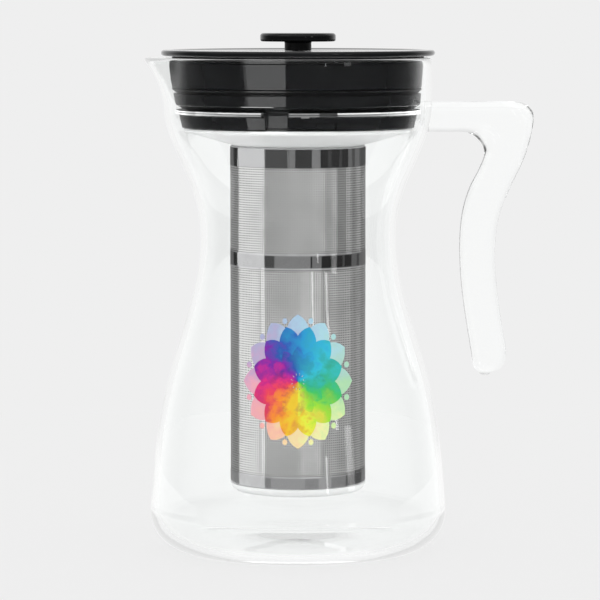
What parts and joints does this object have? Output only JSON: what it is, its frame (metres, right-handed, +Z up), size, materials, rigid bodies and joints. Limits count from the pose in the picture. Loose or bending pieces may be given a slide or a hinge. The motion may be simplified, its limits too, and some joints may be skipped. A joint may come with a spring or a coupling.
{
  "type": "cold brew coffee maker",
  "caption": "Waisted glass jug with a drawn spout and an open glass handle, a black plug lid with a knob, and a steel mesh basket hung from the lid on a bayonet collar.",
  "frame": {"origin": "middle of the jug's flat underside, on its axis", "axes": "+Z up the jug's axis, -X towards the spout, +X towards the handle, -Y towards the viewer"},
  "size_m": [0.1742, 0.133, 0.2316],
  "materials": {
    "glass": "clear polished borosilicate",
    "black_plastic": "gloss",
    "silicone": "satin",
    "bright_steel": "polished",
    "funnel_steel": "satin",
    "mesh_steel": "woven wire",
    "brass": "machined"
  },
  "bodies": {
    "carafe": {"carafe_body": "glass", "carafe_handle": "glass"},
    "lid": {"lid_cap": "black_plastic", "lid_knob": "black_plastic", "knob_insert": "brass", "knob_screw": "bright_steel", "knob_washer": "bright_steel", "lid_plug": "black_plastic", "lid_seal_upper": "silicone", "lid_seal_lower": "silicone"},
    "filter_basket": {"filter_collar": "black_plastic", "collar_gasket": "silicone", "filter_funnel": "funnel_steel", "filter_top_band": "bright_steel", "mesh_upper": "mesh_steel", "mesh_seam_upper": "bright_steel", "filter_mid_band": "bright_steel", "mesh_lower": "mesh_steel", "mesh_seam_lower": "bright_steel", "filter_bottom_band": "bright_steel", "filter_bottom_cap": "funnel_steel"}
  },
  "joints": [
    {"name": "lid_lift", "type": "slide", "parent": "carafe", "child": "lid", "axis": [0, 0, 1], "range_m": [0, 0.21]},
    {"name": "basket_turn", "type": "hinge", "parent": "lid", "child": "filter_basket", "pos_m": [0, 0, 0.1936], "axis": [0, 0, 1], "range_deg": [0, 23.5]}
  ]
}
